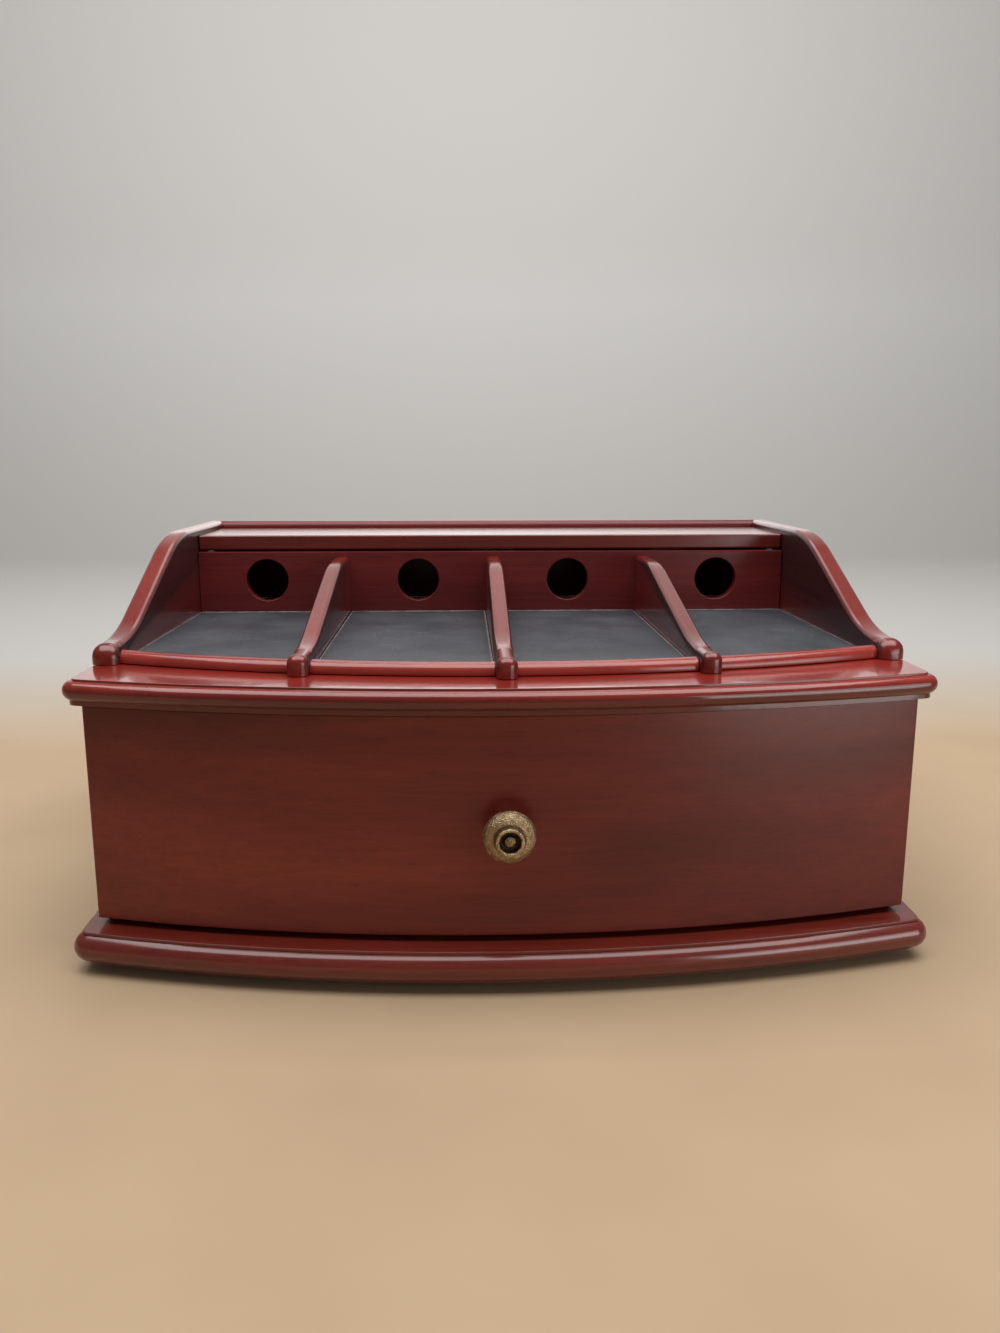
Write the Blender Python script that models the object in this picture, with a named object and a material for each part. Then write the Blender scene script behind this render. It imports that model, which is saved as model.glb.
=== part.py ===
"""Bow-front desktop charging organiser.

A wide drawer sits between a moulded base and a moulded deck. On the deck, two cheeks and three dividers
with S-curved tops form four device bays. A panel with a cord hole for each bay closes them at the back,
and a lid swings up over the cord compartment behind it.

Metres, +Z up. Shapes are written in the drawer front's frame: X across, Y = 0 at the middle of the
front's face and growing to the back, Z = 0 at the front's bottom edge. One empty then sets the whole
piece on the ground, centred over the origin.
"""
import math

import bmesh
import bpy
from mathutils import Matrix, Vector

# Gap kept between pieces that touch
FIT = 0.0003

# Drawer front: a bowed panel of even thickness
FRONT_W = 0.400
FRONT_H = 0.107
FRONT_T = 0.014
FRONT_BOW = 0.027
FRONT_EDGE = 0.0008
FRONT_GAP_LOW = 0.0032
FRONT_GAP_TOP = 0.0012
BODY_D = 0.317

# Base board, with a step and a full round nose along its front and ends
BASE_OVER_FRONT = 0.0150
BASE_OVER_SIDE = 0.0104
BASE_STEP_H = 0.0008
BASE_STEP_IN = 0.0047
BASE_NOSE_R = 0.0072
BASE_HEEL_H = 0.0008
BASE_HEEL_IN = 0.0060

# Deck board, with a step, a smaller nose and a thin heel
DECK_OVER_FRONT = 0.0088
DECK_OVER_SIDE = 0.0080
DECK_STEP_H = 0.0010
DECK_STEP_IN = 0.0048
DECK_NOSE_R = 0.0046
DECK_HEEL_H = 0.0020
DECK_HEEL_IN = 0.0030

STEP_CORNER_R = 0.0040
STEP_EDGE = 0.0003

# Carcass under the deck
SIDE_T = 0.010
SIDE_INSET = 0.001
BACK_T = 0.006
SHUT_GAP = 0.0006
BOARD_EDGE = 0.0006

# Feet
FOOT_D = 0.016
FOOT_H = 0.0044
FOOT_CHAMFER = 0.0007
FOOT_IN = 0.030

# Drawer box and what it runs on
BOX_SIDE_T = 0.009
BOX_BACK_T = 0.009
BOX_CLEAR = 0.0012
BOX_HEADROOM = 0.002
BOX_REAR_GAP = 0.012
BOTTOM_T = 0.004
BOTTOM_RISE = 0.008
GROOVE_DEPTH = 0.004
RUNNER_W = 0.014
RUNNER_H = 0.005
DRAWER_TRAVEL = 0.190
STOP_W = 0.040
STOP_L = 0.012
STOP_H = 0.008
STOP_GAP = 0.0006

# Knob, turned, with a rim, a dome and a ring around a button
KNOB_D = 0.0242
KNOB_RIM_OUT = 0.0122
KNOB_RIM_T = 0.0014
KNOB_OUT = 0.0196
KNOB_FOOT_D = 0.0130
KNOB_NECK_D = 0.0096
KNOB_RING_D = 0.0130
KNOB_RING_L = 0.0034
KNOB_RING_T = 0.0017
KNOB_LIP = 0.0005
KNOB_GROOVE = 0.0020
KNOB_BUTTON_D = 0.0062
KNOB_BUTTON_DROP = 0.0006
SCREW_D = 0.004
SCREW_REACH = 0.008
SCREW_HEAD_D = 0.008
SCREW_HEAD_H = 0.0024

# Cheeks, and the back rail mitred to them
CHEEK_T = 0.0115
CHEEK_RISE = 0.0552
CHEEK_FLAT = 0.106
CHEEK_TOE_L = 0.0130
CHEEK_TOE_RISE = 0.0098
CHEEK_SHOULDER_R = 0.070
CHEEK_HOLLOW_R = 0.080
CHEEK_NOSE_R = 0.0072
CHEEK_TOE_ROUND = 0.0050
EDGE_R = 0.0029

# Dividers
BAYS = 4
DIVIDER_T = 0.0095
DIVIDER_RISE = 0.0371
DIVIDER_FLAT = 0.034
DIVIDER_TOE_L = 0.0302
DIVIDER_TOE_RISE = 0.0095
DIVIDER_SHOULDER_R = 0.125
DIVIDER_HOLLOW_R = 0.146
DIVIDER_NOSE_R = 0.0046
DIVIDER_TOE_ROUND = 0.0042

# Curve that the toes and the bay rails follow, tighter than the front's own bow
TOE_Y = 0.0138
BAY_BOW = 0.0413

# Bay floor: a bowed rail at the front and a pad behind it
BAY_RAIL_W = 0.008
BAY_RAIL_H = 0.0058
BAY_RAIL_SETBACK = 0.0073
BAY_RAIL_ROUND = 0.0046
BAY_RAIL_EDGE = 0.0012
PAD_T = 0.001
PAD_GAP = 0.0006

# Lid over the cord compartment, and the panel with the cord holes in front of it
LID_D = 0.073
LID_T = 0.0093
LID_DROP = 0.0046
LID_END_GAP = 0.0008
LID_REAR_GAP = 0.0011
LID_EDGE = 0.0012
LID_SETBACK = 0.0035
LID_SHADOW = 0.0012
BUMPER_D = 0.005
BUMPER_IN = 0.008
PIN_D = 0.003
PIN_IN_LID = 0.010
PIN_IN_CHEEK = 0.006
PANEL_T = 0.008
HOLE_D = 0.027
HOLE_RISE = 0.0218
NOTCH_W = 0.040
NOTCH_H = 0.020
NOTCH_R = 0.006

# Facets
BOW_STEPS = 28
CORNER_STEPS = 5
NOSE_STEPS = 10
EDGE_STEPS = 4
CURVE_STEPS = 7
TOE_STEPS = 6
RAIL_STEPS = 8
HOLE_SIDES = 32
TURN_SIDES = 32
FOOT_SIDES = 24
PIN_SIDES = 16
SHARP_ANGLE = math.radians(35)
WELD = 1e-6
SIDES = (("left", -1), ("right", 1))

# Places that follow from the sizes above
BOW_R = ((FRONT_W / 2) ** 2 + FRONT_BOW ** 2) / (2 * FRONT_BOW)
BAY_BOW_R = ((FRONT_W / 2) ** 2 + BAY_BOW ** 2) / (2 * BAY_BOW)
BASE_T = BASE_STEP_H + 2 * BASE_NOSE_R + BASE_HEEL_H
DECK_T = DECK_STEP_H + 2 * DECK_NOSE_R + DECK_HEEL_H
BASE_TOP = -FRONT_GAP_LOW
DECK_LOW = FRONT_H + FRONT_GAP_TOP
DECK_TOP = DECK_LOW + DECK_T
GROUND = BASE_TOP - BASE_T - FIT - FOOT_H
SIDE_OUT = FRONT_W / 2 - SIDE_INSET
SIDE_IN = SIDE_OUT - SIDE_T
BOX_OUT = SIDE_IN - BOX_CLEAR
BOX_IN = BOX_OUT - BOX_SIDE_T
BOX_LOW = BASE_TOP + FIT + RUNNER_H + FIT
BOX_TOP = DECK_LOW - BOX_HEADROOM
BOX_REAR = BODY_D - BACK_T - BOX_REAR_GAP
BOTTOM_LOW = BOX_LOW + BOTTOM_RISE
CHEEK_OUT = FRONT_W / 2 + DECK_OVER_SIDE - DECK_STEP_IN
CHEEK_IN = CHEEK_OUT - CHEEK_T
CHEEK_TOP = DECK_TOP + CHEEK_RISE
ON_DECK = DECK_TOP + FIT
RAIL_FACE = BODY_D - CHEEK_T
LID_REAR = RAIL_FACE - LID_REAR_GAP
LID_FRONT = LID_REAR - LID_D
LID_TOP = CHEEK_TOP - LID_DROP
LID_LOW = LID_TOP - LID_T
HINGE_Y = LID_REAR - LID_T / 2
HINGE_Z = LID_LOW + LID_T / 2
PANEL_FACE = LID_FRONT - LID_SETBACK
PANEL_TOP = LID_LOW - LID_SHADOW
BAY_PITCH = (2 * CHEEK_IN + DIVIDER_T) / BAYS
KNOB_Z = FRONT_H / 2
KNOB_TIP = -FIT - KNOB_OUT
MIDDLE_Y = (KNOB_TIP + BODY_D) / 2


def clear_scene():
    for item in list(bpy.data.objects):
        bpy.data.objects.remove(item, do_unlink=True)


def finish(name, colour, roughness, metallic=0.0):
    material = bpy.data.materials.new(name)
    material.use_nodes = True
    shader = material.node_tree.nodes["Principled BSDF"]
    shader.inputs["Base Color"].default_value = (*colour, 1.0)
    shader.inputs["Roughness"].default_value = roughness
    shader.inputs["Metallic"].default_value = metallic
    return material


def empty(name, place, parent=None):
    marker = bpy.data.objects.new(name, None)
    bpy.context.collection.objects.link(marker)
    marker.parent = parent
    marker.location = place
    return marker


def piece(name, bm, material, carrier=None, smooth=False):
    """Turn a bmesh in the front's frame into an object that its carrier's empty moves."""
    bmesh.ops.recalc_face_normals(bm, faces=bm.faces)
    mesh = bpy.data.meshes.new(name)
    bm.to_mesh(mesh)
    bm.free()
    item = bpy.data.objects.new(name, mesh)
    bpy.context.collection.objects.link(item)
    item.parent = carrier or FRAME
    if carrier:
        item.location = -carrier.location
    if material:
        mesh.materials.append(material)
    if smooth:
        mesh.shade_smooth()
        mesh.set_sharp_from_angle(angle=SHARP_ANGLE)
    return item


def cutter(name, bm, carrier=None):
    item = piece(name, bm, None, carrier)
    item.hide_render = True
    item.display_type = "WIRE"
    return item


def cut(item, tool):
    boolean = item.modifiers.new("cut", "BOOLEAN")
    boolean.operation = "DIFFERENCE"
    boolean.solver = "EXACT"
    boolean.object = tool


def round_edges(item, width, segments=2):
    bevel = item.modifiers.new("edges", "BEVEL")
    bevel.width = width
    bevel.segments = segments
    bevel.limit_method = "ANGLE"
    bevel.angle_limit = SHARP_ANGLE


def skin(loops):
    """Close a row of matching loops into one solid, with a face over each end."""
    bm = bmesh.new()
    rings = [[bm.verts.new(point) for point in loop] for loop in loops]
    count = len(rings[0])
    for ring, following in zip(rings, rings[1:]):
        for i in range(count):
            j = (i + 1) % count
            bm.faces.new((ring[i], ring[j], following[j], following[i]))
    bm.faces.new(rings[0])
    bm.faces.new(rings[-1])
    return bm


def prism(outline, low, high):
    """Extrude a plan outline of (x, y) points from one height to another."""
    bm = bmesh.new()
    face = bm.faces.new([bm.verts.new((x, y, low)) for x, y in outline])
    grown = bmesh.ops.extrude_face_region(bm, geom=[face])
    raised = [v for v in grown["geom"] if isinstance(v, bmesh.types.BMVert)]
    bmesh.ops.translate(bm, vec=(0, 0, high - low), verts=raised)
    return bm


def bar(outline, left, right):
    """Extrude an end outline of (y, z) points along X."""
    bm = bmesh.new()
    face = bm.faces.new([bm.verts.new((left, y, z)) for y, z in outline])
    grown = bmesh.ops.extrude_face_region(bm, geom=[face])
    moved = [v for v in grown["geom"] if isinstance(v, bmesh.types.BMVert)]
    bmesh.ops.translate(bm, vec=(right - left, 0, 0), verts=moved)
    return bm


def block(low, high):
    """A straight board between two opposite corners."""
    outline = [(low[0], low[1]), (high[0], low[1]), (high[0], high[1]), (low[0], high[1])]
    return prism(outline, low[2], high[2])


def turned(profile, place, axis, sides=TURN_SIDES):
    """Spin a profile of (radius, height) points, which starts and ends on the axis."""
    bm = bmesh.new()
    line = [bm.verts.new((radius, 0, height)) for radius, height in profile]
    edges = [bm.edges.new(pair) for pair in zip(line, line[1:])]
    bmesh.ops.spin(bm, geom=line + edges, cent=(0, 0, 0), axis=(0, 0, 1), angle=math.tau,
                   steps=sides, use_merge=True)
    bmesh.ops.remove_doubles(bm, verts=bm.verts, dist=WELD)
    turn = Vector((0, 0, 1)).rotation_difference(Vector(axis)).to_matrix().to_4x4()
    bmesh.ops.transform(bm, matrix=Matrix.Translation(place) @ turn, verts=bm.verts)
    return bm


def rod(radius, length):
    return [(0, 0), (radius, 0), (radius, length), (0, length)]


def slice_off(bm, point, normal):
    """Cut a solid by a plane, drop the side that the normal points to and close the cut."""
    bmesh.ops.bisect_plane(bm, geom=bm.verts[:] + bm.edges[:] + bm.faces[:], plane_co=point,
                           plane_no=normal, clear_outer=True)
    bmesh.ops.holes_fill(bm, edges=[edge for edge in bm.edges if edge.is_boundary])


def arc(count, start, end):
    return [start + (end - start) * i / count for i in range(count + 1)]


def quarter(radius, count=EDGE_STEPS):
    """A rounded edge, as (distance in from the side, distance down from the top), side first."""
    return [(radius * (1 - math.cos(a)), radius * (1 - math.sin(a))) for a in arc(count, 0, math.pi / 2)]


def bow(x, ahead=0.0):
    """Y of a curve that runs parallel to the front's face, some way ahead of it."""
    return BOW_R - math.sqrt((BOW_R + ahead) ** 2 - x * x)


def bow_line(left, right, ahead, count):
    return [(x, bow(x, ahead)) for x in arc(count, left, right)]


def toe_line(x):
    """Y of the curve that the fronts of the toes stand on."""
    return TOE_Y + BAY_BOW_R - math.sqrt(BAY_BOW_R ** 2 - x * x)


def edge_profile(step_h, step_in, nose_r, heel_h, heel_in):
    """A moulded edge from the top down, as (inset from the nose, depth below the top)."""
    centre = step_h + nose_r
    upper = math.acos(max(0.0, 1 - step_in / nose_r))
    lower = math.acos(max(0.0, 1 - heel_in / nose_r))
    points = [(step_in + STEP_EDGE, 0.0), (step_in, STEP_EDGE)]
    if step_in > nose_r:
        points.append((step_in, step_h))
    for angle in arc(NOSE_STEPS, upper, -lower):
        points.append((nose_r * (1 - math.cos(angle)), centre - nose_r * math.sin(angle)))
    if heel_in > nose_r:
        points.append((heel_in, step_h + 2 * nose_r))
    points.append((heel_in, step_h + 2 * nose_r + heel_h))
    return points


def board_outline(over_front, over_side, corner_r, inset):
    """Plan of a moulded board: a bowed front, two rounded corners and straight ends."""
    half = FRONT_W / 2 + over_side
    front_r = BOW_R + over_front
    corner_x = half - corner_r
    corner_y = BOW_R - math.sqrt((front_r - corner_r) ** 2 - corner_x ** 2)
    meet = math.atan2(corner_x, BOW_R - corner_y)
    small = corner_r - inset
    right = [(half - inset, BODY_D)]
    for angle in arc(CORNER_STEPS, math.pi / 2, meet):
        right.append((corner_x + small * math.sin(angle), corner_y - small * math.cos(angle)))
    large = front_r - inset
    front = [(large * math.sin(a), BOW_R - large * math.cos(a)) for a in arc(BOW_STEPS, meet, -meet)[1:-1]]
    left = [(-x, y) for x, y in reversed(right)]
    return right + front + left


def moulded_board(name, top, over_front, over_side, profile, material):
    corner_r = STEP_CORNER_R + max(inset for inset, depth in profile)
    loops = []
    for inset, depth in profile:
        outline = board_outline(over_front, over_side, corner_r, inset)
        loops.append([(x, y, top - depth) for x, y in outline])
    return piece(name, skin(loops), material, smooth=True)


def s_curve(high, low, high_r, low_r):
    """A shoulder, a straight slope and a hollow that join two levels, each point with its inward normal."""
    run = high[0] - low[0]
    drop = high[1] - low[1]
    ease = min(1.0, 0.95 * (run * run + drop * drop) / (2 * drop * (high_r + low_r)))
    high_r *= ease
    low_r *= ease
    both = high_r + low_r
    slope = math.sqrt(run * run + (both - drop) ** 2 - both * both)
    steep = math.atan2(both, slope) - math.atan2(both - drop, run)
    points = []
    for a in arc(CURVE_STEPS, 0, steep):
        points.append((high[0] - high_r * math.sin(a), high[1] - high_r * (1 - math.cos(a)),
                       math.sin(a), -math.cos(a)))
    for a in arc(CURVE_STEPS, steep, 0):
        points.append((low[0] + low_r * math.sin(a), low[1] + low_r * (1 - math.cos(a)),
                       math.sin(a), -math.cos(a)))
    return points


def top_path(rear, top, flat_end, toe_front, toe_rise, toe_end, radii, nose_r, toe_round):
    """The upper outline of a cheek or divider, from its rear end to the foot of its toe.

    Each point comes with its inward normal and the radius of the edges beside it.
    """
    toe_top = DECK_TOP + toe_rise
    path = [(rear, top, 0.0, -1.0, EDGE_R)]
    path += [(*point, EDGE_R) for point in s_curve((flat_end, top), (toe_end, toe_top), *radii)]
    for a in arc(TOE_STEPS, 0, math.pi / 2):
        path.append((toe_front + nose_r * (1 - math.sin(a)), toe_top - nose_r * (1 - math.cos(a)),
                     math.sin(a), -math.cos(a), toe_round))
    path.append((toe_front, ON_DECK, 1.0, 0.0, toe_round))
    return path


def upright(path, rear, middle, thickness):
    """A board on edge whose upper outline is rounded on both sides."""
    half = thickness / 2
    section = [(sign, across, inset) for sign in (-1, 1) for across, inset in quarter(1.0)[::-sign]]
    loops = []
    for sign, across, inset in section:
        loop = [(middle + sign * (half - across * r), y + inset * r * ny, z + inset * r * nz)
                for y, z, ny, nz, r in path]
        loop.append((middle + sign * (half - across * EDGE_R), rear, ON_DECK))
        loops.append(loop)
    return skin(loops)


def base_and_deck():
    moulded_board("base_board", BASE_TOP, BASE_OVER_FRONT, BASE_OVER_SIDE,
                  edge_profile(BASE_STEP_H, BASE_STEP_IN, BASE_NOSE_R, BASE_HEEL_H, BASE_HEEL_IN), LACQUER)
    moulded_board("deck_board", DECK_TOP, DECK_OVER_FRONT, DECK_OVER_SIDE,
                  edge_profile(DECK_STEP_H, DECK_STEP_IN, DECK_NOSE_R, DECK_HEEL_H, DECK_HEEL_IN), LACQUER)


def feet():
    across = FRONT_W / 2 - FOOT_IN
    radius = FOOT_D / 2
    profile = [(0, 0), (radius - FOOT_CHAMFER, 0), (radius, FOOT_CHAMFER), (radius, FOOT_H), (0, FOOT_H)]
    rows = {"front": bow(across) + FOOT_IN, "rear": BODY_D - FOOT_IN}
    for row, y in rows.items():
        for side, sign in SIDES:
            foot = turned(profile, (sign * across, y, GROUND), (0, 0, 1), FOOT_SIDES)
            piece(f"foot_{row}_{side}", foot, FELT, smooth=True)


def carcass():
    low = BASE_TOP + FIT
    high = DECK_LOW - FIT
    for side, sign in SIDES:
        front = bow_line(SIDE_IN, SIDE_OUT, -FRONT_T - SHUT_GAP, 1)
        outline = [(sign * x, y) for x, y in front + [(SIDE_OUT, BODY_D), (SIDE_IN, BODY_D)]]
        wall = piece(f"carcass_side_{side}", prism(outline, low, high), LACQUER)
        round_edges(wall, BOARD_EDGE, 1)
        inner = SIDE_IN - FIT
        strip = block((min(sign * inner, sign * (inner - RUNNER_W)), FRONT_BOW + FRONT_T, low),
                      (max(sign * inner, sign * (inner - RUNNER_W)), BODY_D - BACK_T - FIT, low + RUNNER_H))
        piece(f"drawer_runner_{side}", strip, RAW_WOOD)
    half = SIDE_IN - FIT
    piece("lower_back_panel", block((-half, BODY_D - BACK_T, low), (half, BODY_D, high)), RAW_WOOD)
    rear = BOX_REAR - BOX_BACK_T - DRAWER_TRAVEL - STOP_GAP
    stop = block((-STOP_W / 2, rear - STOP_L, high - STOP_H), (STOP_W / 2, rear, high))
    round_edges(piece("drawer_stop", stop, RAW_WOOD), BOARD_EDGE, 1)


def bottom_outline(grow):
    """Plan of the drawer bottom, let into the front, sides and back, grown for its grooves."""
    half = BOX_IN + GROOVE_DEPTH - FIT + grow
    rear = BOX_REAR - BOX_BACK_T + GROOVE_DEPTH - FIT + grow
    front = bow_line(-half, half, GROOVE_DEPTH - FRONT_T - FIT + grow, BOW_STEPS // 2)
    return front + [(half, rear), (-half, rear)]


def drawer(slide):
    half = FRONT_W / 2
    face = bow_line(-half, half, 0, BOW_STEPS)
    inside = bow_line(half, -half, -FRONT_T, BOW_STEPS)
    front = piece("drawer_front", prism(face + inside, 0, FRONT_H), LACQUER, slide, smooth=True)
    round_edges(front, FRONT_EDGE)
    boxed = [front]
    for side, sign in SIDES:
        end = bow_line(BOX_IN, BOX_OUT, -FRONT_T - FIT, 1)
        outline = [(sign * x, y) for x, y in end + [(BOX_OUT, BOX_REAR), (BOX_IN, BOX_REAR)]]
        boxed.append(piece(f"drawer_side_{side}", prism(outline, BOX_LOW, BOX_TOP), RAW_WOOD, slide))
    across = BOX_IN - FIT
    back = block((-across, BOX_REAR - BOX_BACK_T, BOX_LOW), (across, BOX_REAR, BOX_TOP))
    boxed.append(piece("drawer_back", back, RAW_WOOD, slide))
    piece("drawer_bottom", prism(bottom_outline(0), BOTTOM_LOW, BOTTOM_LOW + BOTTOM_T), RAW_WOOD, slide)
    groove = prism(bottom_outline(FIT), BOTTOM_LOW - FIT, BOTTOM_LOW + BOTTOM_T + FIT)
    tool = cutter("bottom_groove", groove, slide)
    for board in boxed:
        cut(board, tool)
    reach = FRONT_T + 2 * FIT
    hole = turned(rod(SCREW_D / 2 + FIT, 2 * reach), (0, -reach / 2, KNOB_Z), (0, 1, 0), PIN_SIDES)
    cut(front, cutter("knob_screw_hole", hole, slide))


def knob(slide):
    rim = KNOB_D / 2
    ring = KNOB_RING_D / 2
    neck = KNOB_NECK_D / 2
    behind = KNOB_RIM_OUT - KNOB_RIM_T
    shelf = KNOB_OUT - KNOB_RING_L
    bore = SCREW_D / 2 + FIT
    floor = SCREW_REACH + FIT
    foot = KNOB_FOOT_D / 2
    waist = 2 * KNOB_RIM_T
    profile = [(0, floor), (bore, floor), (bore, 0), (foot, 0), (foot, KNOB_RIM_T)]
    for a in arc(TOE_STEPS, 0, math.pi / 2):
        profile.append((neck + (rim - neck) * (1 - math.cos(a)), waist + (behind - waist) * math.sin(a)))
    profile.append((rim, KNOB_RIM_OUT))
    dome = shelf - KNOB_RIM_OUT
    for a in arc(EDGE_STEPS, 0, math.pi / 2)[1:]:
        profile.append((ring + (rim - ring) * math.cos(a), KNOB_RIM_OUT + dome * math.sin(a)))
    lip = KNOB_LIP
    inner = ring - KNOB_RING_T
    button = KNOB_BUTTON_D / 2
    groove = KNOB_OUT - KNOB_GROOVE
    button_top = KNOB_OUT - KNOB_BUTTON_DROP
    profile += [(ring, KNOB_OUT - lip), (ring - lip, KNOB_OUT), (inner + lip, KNOB_OUT),
                (inner, KNOB_OUT - lip), (inner, groove), (button, groove), (button, button_top - lip),
                (button - lip, button_top), (0, button_top)]
    piece("knob", turned(profile, (0, -FIT, KNOB_Z), (0, -1, 0)), BRASS, slide, smooth=True)
    seat = FRONT_T + FIT
    length = seat + FIT + SCREW_REACH
    screw = [(0, -SCREW_HEAD_H), (SCREW_HEAD_D / 2, -SCREW_HEAD_H), (SCREW_HEAD_D / 2, 0), (SCREW_D / 2, 0),
             (SCREW_D / 2, length), (0, length)]
    piece("knob_screw", turned(screw, (0, seat, KNOB_Z), (0, -1, 0), PIN_SIDES), STEEL, slide, smooth=True)


def pin_place(sign):
    return sign * (CHEEK_IN - LID_END_GAP - PIN_IN_LID)


def pin_bore(side, sign):
    length = PIN_IN_LID + LID_END_GAP + PIN_IN_CHEEK
    place = (pin_place(sign), HINGE_Y, HINGE_Z)
    return cutter(f"pin_bore_{side}", turned(rod(PIN_D / 2 + FIT, length), place, (sign, 0, 0), PIN_SIDES))


def cheeks_and_back_rail(bores):
    radii = (CHEEK_SHOULDER_R, CHEEK_HOLLOW_R)
    middle = CHEEK_IN + CHEEK_T / 2
    toe = toe_line(middle)
    path = top_path(BODY_D, CHEEK_TOP, BODY_D - CHEEK_FLAT, toe, CHEEK_TOE_RISE, toe + CHEEK_TOE_L, radii,
                    CHEEK_NOSE_R, CHEEK_TOE_ROUND)
    half_gap = FIT / 2
    for side, sign in SIDES:
        away = Vector((-sign, 1, 0)).normalized()
        corner = Vector((sign * CHEEK_IN, RAIL_FACE, 0))
        body = upright(path, BODY_D, sign * middle, CHEEK_T)
        slice_off(body, corner - away * half_gap, away)
        cheek = piece(f"cheek_{side}", body, LACQUER, smooth=True)
        cut(cheek, bores[sign])
    outline = [(RAIL_FACE, ON_DECK)] + [(RAIL_FACE + y, CHEEK_TOP - z) for y, z in quarter(EDGE_R)]
    outline += [(RAIL_FACE + BODY_D - y, z) for y, z in reversed(outline)]
    body = bar(outline, -CHEEK_OUT, CHEEK_OUT)
    for sign in (-1, 1):
        away = Vector((sign, -1, 0)).normalized()
        corner = Vector((sign * CHEEK_IN, RAIL_FACE, 0))
        slice_off(body, corner - away * half_gap, away)
    rail = piece("back_rail", body, LACQUER, smooth=True)
    notch = [(NOTCH_W / 2, DECK_TOP - FIT)]
    notch += [(NOTCH_W / 2 - x, DECK_TOP + NOTCH_H - z) for x, z in quarter(NOTCH_R)]
    notch += [(-x, z) for x, z in reversed(notch)]
    near = RAIL_FACE - CHEEK_T
    far = BODY_D + CHEEK_T
    tool = skin([[(x, y, z) for x, z in notch] for y in (near, far)])
    cut(rail, cutter("cord_notch", tool))


def divider_x(index):
    return (index + 1 - BAYS / 2) * BAY_PITCH


def dividers():
    rear = PANEL_FACE - FIT
    radii = (DIVIDER_SHOULDER_R, DIVIDER_HOLLOW_R)
    names = ("divider_left", "divider_middle", "divider_right")
    for index, name in enumerate(names):
        x = divider_x(index)
        path = top_path(rear, DECK_TOP + DIVIDER_RISE, PANEL_FACE - DIVIDER_FLAT, toe_line(x),
                        DIVIDER_TOE_RISE, TOE_Y + DIVIDER_TOE_L, radii, DIVIDER_NOSE_R, DIVIDER_TOE_ROUND)
        piece(name, upright(path, rear, x, DIVIDER_T), LACQUER, smooth=True)


def bay_walls(index):
    """The two faces that a bay lies between."""
    middle = (index + 0.5 - BAYS / 2) * BAY_PITCH
    reach = (BAY_PITCH - DIVIDER_T) / 2
    return middle - reach, middle + reach


def bay_floors():
    section = [(0.0, 0.0)] + [(y, BAY_RAIL_H - z) for y, z in quarter(BAY_RAIL_ROUND)]
    section += [(BAY_RAIL_W - y, BAY_RAIL_H - z) for y, z in reversed(quarter(BAY_RAIL_EDGE))]
    section.append((BAY_RAIL_W, 0.0))
    for index in range(BAYS):
        left, right = bay_walls(index)
        loops = []
        for x in arc(RAIL_STEPS, left + FIT, right - FIT):
            front = toe_line(x) + BAY_RAIL_SETBACK
            loops.append([(x, front + y, ON_DECK + z) for y, z in section])
        piece(f"bay_rail_{index + 1}", skin(loops), LACQUER, smooth=True)
        behind = BAY_RAIL_SETBACK + BAY_RAIL_W + PAD_GAP
        edge = [(x, toe_line(x) + behind) for x in arc(RAIL_STEPS, left + PAD_GAP, right - PAD_GAP)]
        rear = PANEL_FACE - PAD_GAP
        outline = edge + [(right - PAD_GAP, rear), (left + PAD_GAP, rear)]
        piece(f"bay_pad_{index + 1}", prism(outline, ON_DECK, ON_DECK + PAD_T), LEATHERETTE)


def cord_panel():
    half = CHEEK_IN - FIT
    board = block((-half, PANEL_FACE, ON_DECK), (half, PANEL_FACE + PANEL_T, PANEL_TOP))
    panel = piece("cord_panel", board, LACQUER)
    round_edges(panel, BOARD_EDGE, 1)
    for index in range(BAYS):
        left, right = bay_walls(index)
        place = ((left + right) / 2, PANEL_FACE - PANEL_T, DECK_TOP + HOLE_RISE)
        hole = turned(rod(HOLE_D / 2, 3 * PANEL_T), place, (0, 1, 0), HOLE_SIDES)
        cut(panel, cutter(f"cord_hole_{index + 1}", hole))


def lid(hinge, bores):
    outline = [(LID_FRONT + y, LID_TOP - z) for y, z in quarter(LID_EDGE)]
    for a in arc(NOSE_STEPS, math.pi / 2, -math.pi / 2):
        outline.append((HINGE_Y + LID_T / 2 * math.cos(a), HINGE_Z + LID_T / 2 * math.sin(a)))
    outline += [(LID_FRONT + y, LID_LOW + z) for y, z in reversed(quarter(LID_EDGE))]
    half = CHEEK_IN - LID_END_GAP
    cover = piece("lid", bar(outline, -half, half), LACQUER, hinge, smooth=True)
    for tool in bores.values():
        cut(cover, tool)


def lid_fittings():
    for side, sign in SIDES:
        length = PIN_IN_LID + LID_END_GAP + PIN_IN_CHEEK - 2 * FIT
        place = (pin_place(sign) + sign * FIT, HINGE_Y, HINGE_Z)
        pin = turned(rod(PIN_D / 2, length), place, (sign, 0, 0), PIN_SIDES)
        piece(f"lid_pin_{side}", pin, STEEL, smooth=True)
        spot = (sign * (CHEEK_IN - BUMPER_IN), PANEL_FACE + PANEL_T / 2, PANEL_TOP + FIT)
        dot = rod(BUMPER_D / 2, LID_SHADOW - 2 * FIT)
        piece(f"lid_bumper_{side}", turned(dot, spot, (0, 0, 1), PIN_SIDES), DARK_RUBBER, smooth=True)


clear_scene()

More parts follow.
